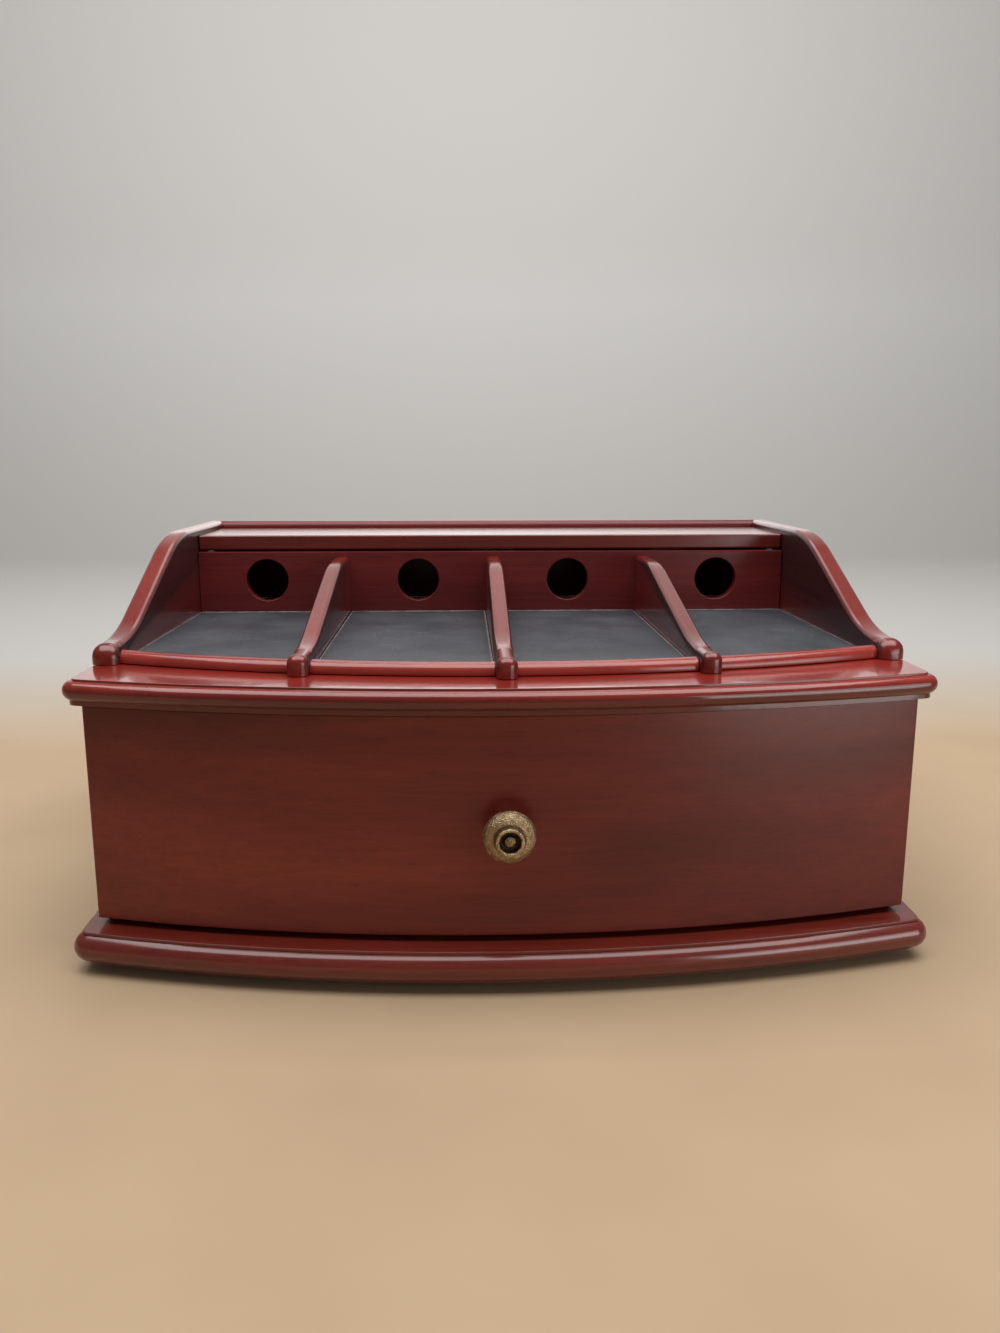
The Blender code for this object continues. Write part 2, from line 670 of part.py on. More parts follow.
LACQUER = finish("mahogany_lacquer", (0.115, 0.022, 0.016), 0.28)
RAW_WOOD = finish("plain_drawer_wood", (0.33, 0.16, 0.09), 0.6)
LEATHERETTE = finish("black_leatherette", (0.045, 0.047, 0.052), 0.5)
BRASS = finish("antique_brass", (0.28, 0.19, 0.085), 0.42, 1.0)
STEEL = finish("zinc_plated_steel", (0.6, 0.6, 0.58), 0.35, 1.0)
FELT = finish("dark_felt", (0.05, 0.035, 0.03), 0.95)
DARK_RUBBER = finish("dark_rubber", (0.03, 0.028, 0.027), 0.6)

FRAME = empty("organiser", (0, -MIDDLE_Y, -GROUND))
DRAWER_SLIDE = empty("drawer_slide", (0, 0, KNOB_Z), FRAME)
LID_HINGE = empty("lid_hinge", (0, HINGE_Y, HINGE_Z), FRAME)
PIN_BORES = {sign: pin_bore(side, sign) for side, sign in SIDES}

base_and_deck()
feet()
carcass()
drawer(DRAWER_SLIDE)
knob(DRAWER_SLIDE)
cheeks_and_back_rail(PIN_BORES)
dividers()
bay_floors()
cord_panel()
lid(LID_HINGE, PIN_BORES)
lid_fittings()
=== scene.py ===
import math

import bmesh
import bpy
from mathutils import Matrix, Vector


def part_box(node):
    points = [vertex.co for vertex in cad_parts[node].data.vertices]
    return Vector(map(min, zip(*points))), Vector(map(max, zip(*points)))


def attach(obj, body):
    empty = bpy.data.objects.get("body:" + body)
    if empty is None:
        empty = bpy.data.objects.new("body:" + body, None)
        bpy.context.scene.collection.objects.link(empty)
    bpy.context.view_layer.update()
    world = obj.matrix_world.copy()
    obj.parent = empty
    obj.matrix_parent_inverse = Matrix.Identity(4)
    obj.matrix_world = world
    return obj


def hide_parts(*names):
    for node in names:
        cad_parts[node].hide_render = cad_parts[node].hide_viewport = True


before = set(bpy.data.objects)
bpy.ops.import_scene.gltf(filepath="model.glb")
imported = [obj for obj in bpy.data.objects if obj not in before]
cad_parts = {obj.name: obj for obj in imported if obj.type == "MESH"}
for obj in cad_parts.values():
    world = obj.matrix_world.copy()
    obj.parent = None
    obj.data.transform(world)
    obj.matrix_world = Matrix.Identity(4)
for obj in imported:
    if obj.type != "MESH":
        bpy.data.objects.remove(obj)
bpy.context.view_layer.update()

# Shapes are modelled in the drawer front's frame, with Y = 0 at the middle of its face and Z = 0 at its
# bottom edge, and settle() then moves them to where the solids stand.
FRONT_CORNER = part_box("drawer_front")[0]
PLACE = Vector((0, FRONT_CORNER.y, FRONT_CORNER.z))
SIDES = {"left": -1, "right": 1}

# Running fit, weld distances, the angle that counts as an edge, and the small square a drawn line starts as
FIT = 0.0003
WELD = 1e-6
ON_CIRCLE = 1e-5
SHARP = math.radians(40)
SEED = 0.002

# Small roundings, how far bits start outside the wood and run on, and steps in small and larger rounds
EASE = 0.0008
EASE_FINE = 0.0006
EASE_THIN = 0.0005
EASE_PAD = 0.00035
BIT_OVER = 0.01
BORE_L = 0.03
SMALL_STEPS = 4
ROUND_STEPS = 12

# Drawer front and its bow
FRONT_W = 0.400
FRONT_T = 0.014
FRONT_BOW = 0.027
BOW_R = ((FRONT_W / 2) ** 2 + FRONT_BOW ** 2) / (2 * FRONT_BOW)
BOW_STEPS = 110
BOW_SPARE = 0.006
GROOVE_DEPTH = 0.004
SCREW_BORE_R = 0.0023
SCREW_START = -0.004
SCREW_SIDES = 32
CARCASS_GAP = 0.0006

# Moulded edges: step height and setback, nose radius, heel height and setback
BASE_EDGE = (0.0008, 0.0047, 0.0072, 0.0008, 0.0060)
DECK_EDGE = (0.0010, 0.0048, 0.0046, 0.0020, 0.0030)
STEP_CORNER_R = 0.0040
STEP_EDGE = 0.0003
QUIRK = 0.0005
NOSE_STEPS = 26
CORNER_STEPS = 18

# Cheeks and dividers: the level length, the toe, the shoulder and hollow radii, the rounding and the flare
CHEEK_FLAT = 0.106
CHEEK_TOE_L = 0.0130
CHEEK_TOE_RISE = 0.0098
CHEEK_RADII = (0.105, 0.095)
CHEEK_NOSE_R = 0.0072
CHEEK_TOE_ROUND = 0.0050
CHEEK_FLARE = 0.20
DIVIDER_FLAT = 0.034
DIVIDER_TOE_L = 0.0302
DIVIDER_TOE_RISE = 0.0095
DIVIDER_RADII = (0.125, 0.146)
DIVIDER_NOSE_R = 0.0046
DIVIDER_TOE_ROUND = 0.0042
DIVIDER_FLARE = 0.08
TOP_EDGE_R = 0.0029
BACK_EDGE_R = 0.0046
TOE_BEAD = 0.0007
TOE_START = -0.5
TOE_BLEND = 0.008
FLARE_END = 0.0085
FLARE_RUN = 0.0050
CURVE_SHARE = 0.95
CURVE_STEPS = 34
TOE_STEPS = 14
EDGE_SEGMENTS = 6

# Bays: the curve that toes and rails follow, the rail's section, the pads and the cord holes
BAYS = 4
TOE_Y = 0.0138
BAY_BOW = 0.0413
BAY_BOW_R = ((FRONT_W / 2) ** 2 + BAY_BOW ** 2) / (2 * BAY_BOW)
RAIL_SETBACK = 0.0073
RAIL_W = 0.008
RAIL_ROUND = 0.0046
RAIL_BACK = 0.0012
RAIL_END = 0.0006
RAIL_SPARE = 0.004
RAIL_STEPS = 24
PAD_GAP = 0.0006
PAD_RIM = 0.0016
PAD_ROWS = 24
PAD_COLUMNS = 18
HOLE_R = 0.0135
HOLE_RISE = 0.0218
HOLE_RIM = 0.0006

# Lid, its pins' bores and the notch in the back rail
LID_EDGE = 0.0012
HINGE_STEPS = 24
PIN_BORE_R = 0.0018
PIN_SIDES = 24
PIN_REACH = 0.0168
PIN_IN_CHEEK = 0.006
LID_BORE_OVER = 0.004
LID_BORE_L = 0.0143
NOTCH_W = 0.040
NOTCH_H = 0.020
NOTCH_R = 0.006

# Knob: radii, lengths along its axis, the angles where its rounds begin, steps, and shares of dirt
KNOB_RIM_R = 0.0121
KNOB_RING_R = 0.0065
KNOB_NECK_R = 0.0048
KNOB_FOOT_R = 0.0065
KNOB_WELL_R = 0.0050
KNOB_BUTTON_R = 0.0028
KNOB_RIM_SWELL = 0.0002
KNOB_RIM_OUT = 0.0122
KNOB_RIM_T = 0.0014
KNOB_RING_L = 0.0034
KNOB_LIP = 0.0005
KNOB_WELL_DEPTH = 0.0030
KNOB_BUTTON_DROP = 0.0010
RIM_START = 0.3
DOME_START = 0.06
BUTTON_START = 0.1
NECK_STEPS = 18
RIM_STEPS = 6
DOME_STEPS = 20
LIP_STEPS = 5
BUTTON_STEPS = 8
KNOB_SIDES = 96
WELL_DIRT = 0.92
RING_DIRT = 0.55
BUTTON_DIRT = 0.35

# Feet and bumpers
FOOT_SOFT = 0.0009
FOOT_SIDES = 48
BUMPER_START = 0.2
BUMPER_STEPS = 8
BUMPER_SIDES = 32

# Floor with its cove and wall, and the camera as fitted to the photo, whose long side is PHOTO_PX
FLOOR_W = 8
FLOOR_D = 5
FLOOR_Y = -0.6
COVE_R = 0.9
COVE_STEPS = 24
WALL_H = 2.5
EYE = (-0.0210, -0.4608, 0.2229)
PITCH = 0.1995
YAW = -0.0371
FOCAL_PX = 1050.6
PHOTO_PX = 1333
SENSOR = 36


def box(node):
    low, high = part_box(node)
    return low - PLACE, high - PLACE


def arc(count, start, end):
    return [start + (end - start) * i / count for i in range(count + 1)]


def rise(y, z, radius, steps):
    """A quarter round from a front face at y up to a top at z."""
    return [(y + radius * (1 - math.cos(a)), z - radius * (1 - math.sin(a)))
            for a in arc(steps, 0, math.pi / 2)]


def fall(y, z, radius, steps):
    """A quarter round from a top at z over to a back face at y."""
    return [(y - radius * (1 - math.sin(a)), z - radius * (1 - math.cos(a)))
            for a in arc(steps, 0, math.pi / 2)]


def smooth(share):
    """A share held between 0 and 1 and eased at both ends."""
    share = min(1.0, max(0.0, share))
    return share * share * (3 - 2 * share)


def bow(x, ahead):
    """Y of a curve that runs parallel to the front's face, some way ahead of it."""
    return BOW_R - math.sqrt((BOW_R + ahead) ** 2 - x * x)


def toe_line(x):
    """Y of the curve that the fronts of the toes stand on."""
    return TOE_Y + BAY_BOW_R - math.sqrt(BAY_BOW_R ** 2 - x * x)


# Modelling steps


def begin(name, points):
    """Start a mesh as a line drawn through points, one extruded vertex after another."""
    bpy.ops.object.select_all(action="DESELECT")
    bpy.ops.mesh.primitive_plane_add(size=SEED, location=points[0])
    item = bpy.context.object
    item.name = item.data.name = name
    bpy.ops.object.transform_apply(location=True, rotation=True, scale=True)
    bpy.ops.object.mode_set(mode="EDIT")
    bpy.ops.mesh.select_mode(type="VERT")
    bpy.ops.mesh.select_all(action="SELECT")
    bpy.ops.mesh.merge(type="CENTER")
    for start, end in zip(points, points[1:]):
        bpy.ops.mesh.extrude_vertices_move(TRANSFORM_OT_translate={"value": Vector(end) - Vector(start)})
    bpy.ops.mesh.select_all(action="SELECT")
    return item


def loop(name, points):
    """A closed line, with no face in it."""
    item = begin(name, list(points) + [points[0]])
    bpy.ops.mesh.remove_doubles(threshold=WELD)
    return item


def pull(offset):
    bpy.ops.mesh.extrude_region_move(TRANSFORM_OT_translate={"value": offset})


def sweep(steps, angle, centre, axis=(0, 0, 1)):
    bpy.ops.mesh.spin(steps=steps, angle=angle, center=centre, axis=axis)


def pick_edges(test):
    """Select the edges that pass a test of their place."""
    bpy.ops.mesh.select_mode(type="EDGE")
    bpy.ops.mesh.select_all(action="DESELECT")
    shape = bmesh.from_edit_mesh(bpy.context.object.data)
    for edge in shape.edges:
        edge.select_set(bool(test(edge)))
    bmesh.update_edit_mesh(bpy.context.object.data)


def trim(point, normal):
    """Saw the piece along a plane, drop the side that the normal points to and close the cut."""
    bpy.ops.mesh.select_all(action="SELECT")
    bpy.ops.mesh.bisect(plane_co=point, plane_no=normal, use_fill=True, clear_outer=True)


def outward():
    bpy.ops.mesh.select_all(action="SELECT")
    bpy.ops.mesh.remove_doubles(threshold=WELD)
    bpy.ops.mesh.normals_make_consistent(inside=False)


def ease(width, segments=3):
    """Round over the chosen edges."""
    bpy.ops.mesh.bevel(offset=width, offset_pct=0, segments=segments, affect="EDGES")


def ease_sharp(width, segments=3, angle=50):
    """Round over every sharp edge."""
    bpy.ops.mesh.select_mode(type="EDGE")
    bpy.ops.mesh.select_all(action="DESELECT")
    bpy.ops.mesh.edges_select_sharp(sharpness=math.radians(angle))
    ease(width, segments)


def close_mesh():
    bpy.ops.object.mode_set(mode="OBJECT")


def reopen(item):
    choose(item)
    bpy.ops.object.mode_set(mode="EDIT")


def mark(item, name, share):
    """Give every vertex a share that a finish reads."""
    values = item.data.attributes.new(name, "FLOAT", "POINT").data
    for vertex in item.data.vertices:
        values[vertex.index].value = share(vertex)


def choose(item):
    bpy.ops.object.select_all(action="DESELECT")
    item.select_set(True)
    bpy.context.view_layer.objects.active = item


def apply(item, kind, **values):
    choose(item)
    modifier = item.modifiers.new(kind.lower(), kind)
    for key, value in values.items():
        setattr(modifier, key, value)
    bpy.ops.object.modifier_apply(modifier=modifier.name)


def cut(item, tool):
    apply(item, "BOOLEAN", operation="DIFFERENCE", solver="EXACT", object=tool)
    bpy.data.objects.remove(tool)


def board(name, low, high):
    """A straight board between two opposite corners, left open for more work."""
    low, high = Vector(low), Vector(high)
    bpy.ops.object.select_all(action="DESELECT")
    bpy.ops.mesh.primitive_cube_add(size=1, location=(low + high) / 2, scale=high - low)
    item = bpy.context.object
    item.name = item.data.name = name
    bpy.ops.object.transform_apply(location=True, rotation=True, scale=True)
    bpy.ops.object.mode_set(mode="EDIT")
    return item


def drill(radius, start, length, along, sides=96):
    """A round bit that runs from a place along X or Y."""
    turn = (math.pi / 2, 0, 0) if along == "Y" else (0, math.pi / 2, 0)
    middle = Vector(start) + (Vector((0, length / 2, 0)) if along == "Y" else Vector((length / 2, 0, 0)))
    bpy.ops.object.select_all(action="DESELECT")
    bpy.ops.mesh.primitive_cylinder_add(vertices=sides, radius=radius, depth=abs(length), location=middle,
                                        rotation=turn)
    bpy.ops.object.transform_apply(location=True, rotation=True, scale=True)
    return bpy.context.object


def settle(item, body, finish, node):
    """Shade a finished piece, move it to its place and hang it on its body."""
    if item.mode == "EDIT":
        close_mesh()
    choose(item)
    item.data.materials.clear()
    item.data.materials.append(finish)
    bpy.ops.object.shade_smooth_by_angle(angle=SHARP)
    apply(item, "WEIGHTED_NORMAL", keep_sharp=True, weight=80)
    item.location = PLACE
    bpy.ops.object.transform_apply(location=True, rotation=True, scale=True)
    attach(item, body)
    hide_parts(node)


# Finishes


def start_finish(name):
    made = bpy.data.materials.new(name)
    made.use_nodes = True
    return made, made.node_tree, made.node_tree.nodes["Principled BSDF"]


def set_shader(shader, **values):
    for key, value in values.items():
        shader.inputs[key.replace("_", " ").title().replace("Ior", "IOR")].default_value = value


def spot(tree, scale=(1, 1, 1), shift=(0, 0, 0)):
    """Object coordinates, stretched and shifted for a pattern."""
    where = tree.nodes.new("ShaderNodeTexCoord")
    stretch = tree.nodes.new("ShaderNodeMapping")
    stretch.inputs["Scale"].default_value = scale
    stretch.inputs["Location"].default_value = shift
    tree.links.new(where.outputs["Object"], stretch.inputs["Vector"])
    return stretch.outputs["Vector"]


def cloud(tree, vector, scale, detail=3.0, rough=0.5, twist=0.0):
    made = tree.nodes.new("ShaderNodeTexNoise")
    for key, value in (("Scale", scale), ("Detail", detail), ("Roughness", rough), ("Distortion", twist)):
        made.inputs[key].default_value = value
    tree.links.new(vector, made.inputs["Vector"])
    return made.outputs["Fac"]


def axes(tree, vector):
    """The X, Y and Z of a vector."""
    made = tree.nodes.new("ShaderNodeSeparateXYZ")
    tree.links.new(vector, made.inputs[0])
    return made.outputs


def marked(tree, name):
    """The share that mark() gave each vertex."""
    made = tree.nodes.new("ShaderNodeAttribute")
    made.attribute_name = name
    return made.outputs["Fac"]


def cells(tree, vector, scale):
    made = tree.nodes.new("ShaderNodeTexVoronoi")
    made.inputs["Scale"].default_value = scale
    tree.links.new(vector, made.inputs["Vector"])
    return made.outputs["Distance"]


def ramp(tree, value, *stops):
    made = tree.nodes.new("ShaderNodeValToRGB")
    points = made.color_ramp.elements
    for _ in stops[2:]:
        points.new(0.5)
    for point, (place, colour) in zip(points, stops):
        point.position = place
        point.color = (*colour, 1) if hasattr(colour, "__len__") else (colour, colour, colour, 1)
    tree.links.new(value, made.inputs["Fac"])
    return made.outputs["Color"]


# Sockets of the mix node when it mixes colours: factor and two colours in, one colour out
MIX_IN = (0, 6, 7)
MIX_OUT = 2


def blend(tree, factor, first, second, way="MIX"):
    made = tree.nodes.new("ShaderNodeMix")
    made.data_type = "RGBA"
    made.blend_type = way
    made.clamp_result = True
    for index, value in zip(MIX_IN, (factor, first, second)):
        socket = made.inputs[index]
        if hasattr(value, "links"):
            tree.links.new(value, socket)
        elif hasattr(value, "__len__"):
            socket.default_value = (*value, 1)
        else:
            socket.default_value = value
    return made.outputs[MIX_OUT]


def relief(tree, height, strength, depth, under=None):
    made = tree.nodes.new("ShaderNodeBump")
    made.inputs["Strength"].default_value = strength
    made.inputs["Distance"].default_value = depth
    tree.links.new(height, made.inputs["Height"])
    if under:
        tree.links.new(under, made.inputs["Normal"])
    return made.outputs["Normal"]


# Where the tones sit along a wood's figure, the plain wood's tones, and how fast dust fades from the back
LACQUER_STOPS = (0.30, 0.52, 0.74)
PLAIN_STOPS = (0.28, 0.55, 0.78)
PLAIN_TONES = ((0.20, 0.085, 0.045), (0.30, 0.14, 0.075), (0.37, 0.19, 0.105))
DUST_SCALE = 100


def along_grain(axis, along, across):
    return (along, across, across) if axis == "X" else (across, along, across)


def lacquer(name, axis, shift, body_rough, coat_rough, tones, painted_light_tones=None, coat=1.0, side_coat=1.0):
    """Red-brown stained wood under clear lacquer, its grain along X or Y, paler on faces marked as lit
    (painted light) and darker elsewhere (painted shade).
    """
    made, tree, shader = start_finish(name)
    figure = cloud(tree, spot(tree, along_grain(axis, 2.2, 16), shift), 1.0, 3.0, 0.55, 0.6)
    streaks = cloud(tree, spot(tree, along_grain(axis, 9, 420), shift), 1.0, 4.0, 0.6)
    pores = cloud(tree, spot(tree, along_grain(axis, 70, 1500), shift), 1.0, 2.0, 0.5)
    base = ramp(tree, figure, *zip(LACQUER_STOPS, tones))
    set_shader(shader, coat_weight=coat, coat_roughness=coat_rough, coat_ior=1.5, ior=1.45,
               specular_ior_level=0.15)
    # Painted light and shade: faces that the share marks as lit take the paler tones, the others keep the
    # darker tones as painted shade.
    if painted_light_tones:
        painted_light_share = marked(tree, "painted_light_share")
        top = ramp(tree, figure, *zip(LACQUER_STOPS, painted_light_tones))
        base = blend(tree, ramp(tree, painted_light_share, (0.10, 0.0), (0.75, 1.0)), base, top)
        if side_coat != coat:
            shine = ramp(tree, painted_light_share, (0.05, side_coat), (0.40, coat))
            tree.links.new(shine, shader.inputs["Coat Weight"])
    base = blend(tree, 0.70, base, ramp(tree, streaks, (0.30, 0.62), (0.70, 1.0)), "MULTIPLY")
    base = blend(tree, 0.50, base, ramp(tree, pores, (0.30, 0.45), (0.40, 1.0)), "MULTIPLY")
    tree.links.new(base, shader.inputs["Base Color"])
    rough = ramp(tree, streaks, (0.2, body_rough - 0.04), (0.8, body_rough + 0.06))
    tree.links.new(rough, shader.inputs["Roughness"])
    wave = cloud(tree, spot(tree, shift=shift), 55, 2.0)
    normal = relief(tree, wave, 0.10, 0.0016)
    normal = relief(tree, pores, 0.06, 0.0002, normal)
    tree.links.new(normal, shader.inputs["Normal"])
    tree.links.new(relief(tree, wave, 0.07, 0.0016), shader.inputs["Coat Normal"])
    return made


def plain_wood(name, axis, stain=1.0):
    """Unpolished wood, its tones darkened by a stain below 1."""
    made, tree, shader = start_finish(name)
    figure = cloud(tree, spot(tree, along_grain(axis, 3, 26)), 1.0, 4.0, 0.6, 0.8)
    streaks = cloud(tree, spot(tree, along_grain(axis, 14, 520)), 1.0, 4.0, 0.6)
    pores = cloud(tree, spot(tree, along_grain(axis, 60, 1300)), 1.0, 2.0)
    tones = [[stain * part for part in tone] for tone in PLAIN_TONES]
    base = ramp(tree, figure, *zip(PLAIN_STOPS, tones))
    base = blend(tree, 0.6, base, ramp(tree, streaks, (0.3, 0.66), (0.7, 1.0)), "MULTIPLY")
    base = blend(tree, 0.6, base, ramp(tree, pores, (0.30, 0.35), (0.42, 1.0)), "MULTIPLY")
    tree.links.new(base, shader.inputs["Base Color"])
    tree.links.new(ramp(tree, streaks, (0.2, 0.55), (0.8, 0.72)), shader.inputs["Roughness"])
    normal = relief(tree, streaks, 0.18, 0.0003)
    tree.links.new(relief(tree, pores, 0.25, 0.0003, normal), shader.inputs["Normal"])
    return made


def leatherette():
    """Black leatherette with a fine grain, faint scuffs, motes and pale dust along the cut edges."""
    made, tree, shader = start_finish("black_leatherette")
    grain = cells(tree, spot(tree), 950)
    cloudy = cloud(tree, spot(tree), 26, 4.0, 0.6)
    scuffs = cloud(tree, spot(tree, (30, 240, 60), (0.3, 0.1, 0)), 1.0, 3.0, 0.6, 0.8)
    base = ramp(tree, cloudy, (0.3, (0.027, 0.030, 0.037)), (0.7, (0.050, 0.054, 0.064)))
    base = blend(tree, ramp(tree, scuffs, (0.66, 0.0), (0.80, 0.35)), base, (0.16, 0.165, 0.175))
    motes = cells(tree, spot(tree, shift=(0.2, 0.6, 0)), 330)
    patchy = cloud(tree, spot(tree, shift=(0.7, 0.2, 0)), 60, 2.0)
    specks = blend(tree, 1.0, ramp(tree, motes, (0.10, 1.0), (0.17, 0.0)),
                   ramp(tree, patchy, (0.50, 0.0), (0.62, 0.75)), "MULTIPLY")
    base = blend(tree, specks, base, (0.30, 0.30, 0.30))
    worn = cloud(tree, spot(tree), 160, 3.0)
    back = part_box("bay_pad_1")[1].y
    near_back = axes(tree, spot(tree, (1, DUST_SCALE, 1), (0, 1 - DUST_SCALE * back, 0)))["Y"]
    edge = blend(tree, 1.0, ramp(tree, marked(tree, "rim"), (0.35, 0.0), (0.95, 0.95)),
                 ramp(tree, near_back, (0.50, 0.0), (0.95, 0.95)), "LIGHTEN")
    dust = blend(tree, 1.0, edge, ramp(tree, worn, (0.35, 0.3), (0.65, 1.0)), "MULTIPLY")
    base = blend(tree, dust, base, (0.36, 0.35, 0.345))
    tree.links.new(base, shader.inputs["Base Color"])
    tree.links.new(ramp(tree, cloudy, (0.25, 0.40), (0.75, 0.54)), shader.inputs["Roughness"])
    tree.links.new(relief(tree, grain, 0.22, 0.0002), shader.inputs["Normal"])
    set_shader(shader, specular_ior_level=0.55)
    return made


def antique_brass():
    """Stippled dark brass, worn bright along its rims and dirty in its hollows."""
    made, tree, shader = start_finish("antique_brass")
    stipple = cells(tree, spot(tree), 1750)
    stain = cloud(tree, spot(tree), 520, 4.0, 0.6)
    worn = tree.nodes.new("ShaderNodeNewGeometry").outputs["Pointiness"]
    base = ramp(tree, stain, (0.30, (0.21, 0.145, 0.080)), (0.55, (0.40, 0.290, 0.165)),
                (0.75, (0.58, 0.435, 0.255)))
    base = blend(tree, ramp(tree, stipple, (0.08, 0.75), (0.42, 0.0)), base, (0.070, 0.045, 0.027))
    base = blend(tree, ramp(tree, worn, (0.515, 0.0), (0.57, 0.95)), base, (0.86, 0.70, 0.45))
    base = blend(tree, marked(tree, "dirt"), base, (0.030, 0.019, 0.012))
    tree.links.new(base, shader.inputs["Base Color"])
    tree.links.new(ramp(tree, stain, (0.25, 0.30), (0.75, 0.48)), shader.inputs["Roughness"])
    normal = relief(tree, stipple, 0.70, 0.0004)
    tree.links.new(relief(tree, stain, 0.15, 0.0003, normal), shader.inputs["Normal"])
    set_shader(shader, metallic=1.0)
    return made


def zinc():
    made, tree, shader = start_finish("zinc_plated_steel")
    spangle = cells(tree, spot(tree), 700)
    tree.links.new(ramp(tree, spangle, (0.1, (0.46, 0.46, 0.45)), (0.6, (0.66, 0.66, 0.64))),
                   shader.inputs["Base Color"])
    tree.links.new(ramp(tree, spangle, (0.1, 0.28), (0.7, 0.42)), shader.inputs["Roughness"])
    set_shader(shader, metallic=1.0)
    return made


def felt():
    made, tree, shader = start_finish("dark_felt")
    fuzz = cloud(tree, spot(tree), 1400, 4.0, 0.7)
    tree.links.new(ramp(tree, fuzz, (0.3, (0.022, 0.016, 0.014)), (0.7, (0.075, 0.055, 0.048))),
                   shader.inputs["Base Color"])
    tree.links.new(relief(tree, fuzz, 0.6, 0.0005), shader.inputs["Normal"])
    set_shader(shader, roughness=0.95, sheen_weight=0.4)
    return made


def dark_rubber():
    made, tree, shader = start_finish("dark_rubber")
    haze = cloud(tree, spot(tree), 300, 3.0)
    tree.links.new(ramp(tree, haze, (0.3, (0.022, 0.020, 0.019)), (0.7, (0.040, 0.038, 0.036))),
                   shader.inputs["Base Color"])
    set_shader(shader, roughness=0.55)
    return made


# Wood tones, each dark, middle and light
# ORANGE and RED are painted light for the up-facing faces of the deck and for the tops and toes of the
# cheeks and dividers; DEEP is painted shade on those boards' sides.
RED = ((0.145, 0.0085, 0.0055), (0.205, 0.0140, 0.0090), (0.255, 0.0210, 0.0130))
ORANGE = ((0.215, 0.0150, 0.0085), (0.300, 0.0240, 0.0140), (0.370, 0.0340, 0.0200))
# BRIGHT is a lighter wood for the rails, raised further to stand in for the light their rounded fronts
# catch, so partly painted light.
BRIGHT = ((0.240, 0.0210, 0.0135), (0.335, 0.0320, 0.0210), (0.420, 0.0450, 0.0300))
BROWN = ((0.088, 0.0085, 0.0060), (0.128, 0.0135, 0.0090), (0.165, 0.0190, 0.0125))
WARM = ((0.092, 0.0080, 0.0052), (0.152, 0.0150, 0.0090), (0.225, 0.0270, 0.0140))
DULL = ((0.105, 0.0100, 0.0075), (0.150, 0.0150, 0.0110), (0.190, 0.0210, 0.0150))
EARTH = ((0.122, 0.0145, 0.0095), (0.175, 0.0215, 0.0135), (0.222, 0.0300, 0.0185))
PLUM = ((0.122, 0.0145, 0.0140), (0.172, 0.0205, 0.0195), (0.215, 0.0275, 0.0255))
DEEP = ((0.030, 0.0100, 0.0108), (0.047, 0.0140, 0.0150), (0.066, 0.0185, 0.0190))
MAHOGANY_DECK = lacquer("mahogany_deck", "X", (0.1, 0.7, 0.3), 0.34, 0.08, DULL, ORANGE)
MAHOGANY_BASE = lacquer("mahogany_base", "X", (0.2, 0.5, 0.7), 0.36, 0.14, EARTH)
MAHOGANY_RAIL = lacquer("mahogany_rails", "X", (0.5, 0.9, 0.1), 0.36, 0.14, BRIGHT)
MAHOGANY_LID = lacquer("mahogany_lid", "X", (0.7, 0.4, 0.6), 0.38, 0.20, DULL)
MAHOGANY_ACROSS = lacquer("mahogany_across", "X", (0.3, 0.6, 0.2), 0.34, 0.22, PLUM, coat=0.45)
# Painted shade on the sides of cheeks and dividers (DEEP) and painted light on their tops and toes (RED).
MAHOGANY_BACK = lacquer("mahogany_front_to_back", "Y", (0.4, 0.2, 0.9), 0.34, 0.18, DEEP, RED,
                        side_coat=0.30)
MAHOGANY_SIDE = lacquer("mahogany_carcass_side", "Y", (0.6, 0.1, 0.2), 0.40, 0.20, BROWN)
MAHOGANY_FRONT = lacquer("mahogany_drawer_front", "X", (0.8, 0.3, 0.5), 0.42, 0.28, WARM, coat=0.6)
BOX_ACROSS = plain_wood("drawer_wood_across", "X")
BOX_BACK = plain_wood("drawer_wood_front_to_back", "Y")
BACK_BOARD = plain_wood("back_board_stained", "X", 0.55)
LEATHERETTE = leatherette()
BRASS = antique_brass()
ZINC = zinc()
FELT = felt()
RUBBER = dark_rubber()


# Pieces


def edge_profile(step_h, step_in, nose_r, heel_h, heel_in):
    """A moulded edge from the top down, as (inset from the nose, depth below the top)."""
    centre = step_h + nose_r
    upper = math.acos(1 - (step_in - QUIRK) / nose_r)
    lower = math.acos(max(0.0, 1 - heel_in / nose_r))
    points = [(step_in + STEP_EDGE * (1 - math.sin(a)), STEP_EDGE * (1 - math.cos(a)))
              for a in arc(SMALL_STEPS, 0, math.pi / 2)]
    points.append((step_in, centre - nose_r * math.sin(upper) + QUIRK))
    for angle in arc(NOSE_STEPS, upper, -lower):
        points.append((nose_r * (1 - math.cos(angle)), centre - nose_r * math.sin(angle)))
    points.append((heel_in, step_h + 2 * nose_r + heel_h))
    return points


